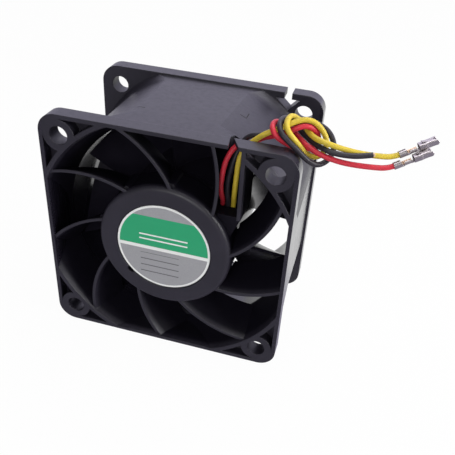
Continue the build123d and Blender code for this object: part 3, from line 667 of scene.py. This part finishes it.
wire_pitch = 0.11 * mm
wire = Finish("wound_copper", Metallic=0.85, Coat_Weight=0.4)
turns = (wire.x.zigzag(wire_pitch) / wire_pitch).high(wire.z.zigzag(wire_pitch) / wire_pitch)
wire.set(Base_Color=wire.mix(turns, (0.22, 0.07, 0.02), (0.66, 0.26, 0.10)))
wire.set(Roughness=0.3 + 0.1 * wire.grain(3.0))
wire.bump(turns, 0.5, 0.05)
wire.give(*(nodes[f"coil_{k}"] for k in range(1, 5)))
print("wound finishes:", sheets.material.name, wire.material.name)


# %% Small plastic and ceramic pieces
def plain_plastic(name, shade, roughness, *pieces, coat=0.0):
    """Small moulded or pressed pieces: faint mottling and a fine grain."""
    skin = Finish(name, Coat_Weight=coat)
    mottle = skin.grain(1.2)
    skin.set(Base_Color=skin.mix(mottle.ease(0.3, 0.8), shade, darker(shade, 0.8)))
    skin.set(Roughness=roughness + 0.12 * mottle)
    skin.bump(skin.grain(8.0), 0.25, 0.015)
    skin.give(*(nodes[piece] for piece in pieces))


plain_plastic("ivory_moulding", (0.74, 0.70, 0.60), 0.42, "front_insulator", "rear_insulator")
plain_plastic("nylon_cage", (0.70, 0.64, 0.50), 0.40, "front_cage", "rear_cage")
plain_plastic("bonded_ferrite", (0.055, 0.052, 0.05), 0.60, "ring_magnet")
plain_plastic("solder_mask", (0.03, 0.19, 0.07), 0.30, "circuit_board", coat=0.3)
plain_plastic("chip_package", (0.022, 0.022, 0.024), 0.48, "hall_sensor", "driver_chip", "bridge_chips")
print("finishes:", len(bpy.data.materials))

# %% [markdown]
# ## Table top, light and background
# The fan stands on a pale sheet in front of a plain white ground. More light would burn out the fan,
# so mix shaders show white to camera rays alone. The black plastic is mostly mirror, so the sheet also
# glows to glossy rays as a painted reflection: dim and bluish before the fan, which its front shows,
# and white behind it, which its flanks show.
# One large soft lamp is overhead, a strong one to the right, and a weak one fills the front.

# %% Floor
floor_reach = 1.5
corners = [(-floor_reach, -floor_reach, 0.0), (floor_reach, -floor_reach, 0.0),
           (floor_reach, floor_reach, 0.0), (-floor_reach, floor_reach, 0.0)]
floor_mesh = bpy.data.meshes.new("table_top")
floor_mesh.from_pydata(corners, [], [(0, 1, 2, 3)])
table_top = bpy.data.objects.new("table_top", floor_mesh)
bpy.context.scene.collection.objects.link(table_top)
paper = Finish("white_paper", Roughness=0.9)
paper.set(Base_Color=paper.mix(paper.grain(0.01), (0.60, 0.60, 0.60), (0.64, 0.64, 0.64)))
seen = paper.ray("Camera").high(paper.ray("Transmission"))
# Painted reflection: glossy rays see the sheet glow, dim and bluish in front of the fan, white behind it.
painted_reflection_colour = paper.mix(paper.y.ease(0.0, 30.0 * mm), (0.44, 0.42, 0.53), (1.0, 1.0, 1.0))
glow = paper.node("ShaderNodeEmission", {}, paper.mix(seen, painted_reflection_colour, (1.0, 1.0, 1.0)))
glow_share = (seen * 0.97).high(paper.ray("Glossy") * 0.95)
paper.show(paper.blend(glow_share, Value(paper, paper.shader.outputs[0]), glow))
paper.give(table_top)
print("floor:", table_top.name)


# %% World
class Surround(Finish):
    """The world: a dim ground that lights the fan, and others shown by kind of ray through mix shaders."""

    def __init__(self, name):
        world = bpy.data.worlds.new(name)
        bpy.context.scene.world = world
        world.use_nodes = True
        self.tree = world.node_tree

    def ground(self, colour, strength=1.0):
        """Plain background of one colour."""
        return self.node("ShaderNodeBackground", {}, colour, strength)


studio = Surround("studio")
dim = studio.ground((1.0, 1.0, 1.0), 0.14)
# Painted reflection: glossy rays that head towards the back see a bright bluish ground, which tints the
# sheen of the black plastic.
painted_reflection_ground = studio.ground((1.12, 1.08, 1.36))
white = studio.ground((1.0, 1.0, 1.0))
direction = studio.split(studio.node("ShaderNodeTexCoord", {}, out="Generated"))
around = studio.blend(studio.ray("Glossy") * direction[1].ease(-0.15, 0.45), dim, painted_reflection_ground)
studio.show(studio.blend(studio.ray("Camera"), around, white))
print("world:", bpy.context.scene.world.name)


# %% Lamps
def soft_lamp(name, place, aim, size, power):
    """Square area lamp at a place, turned to shine at a point."""
    data = bpy.data.lights.new(name, "AREA")
    data.size = size
    data.energy = power
    lamp = bpy.data.objects.new(name, data)
    lamp.location = place
    lamp.rotation_euler = (Vector(aim) - Vector(place)).to_track_quat("-Z", "Y").to_euler()
    bpy.context.scene.collection.objects.link(lamp)


middle = (0.0, 0.0, axis_height)
soft_lamp("overhead_box", (0.05, 0.10, 0.55), middle, 0.45, 2.4)
soft_lamp("right_box", (0.55, -0.05, 0.22), middle, 0.30, 3.4)
soft_lamp("front_fill", (0.02, -0.65, 0.30), middle, 0.40, 1.9)
print("lamps:", len(bpy.data.lights))

# %% Finish
bpy.context.scene.view_settings.view_transform = "Standard"
bpy.context.view_layer.update()
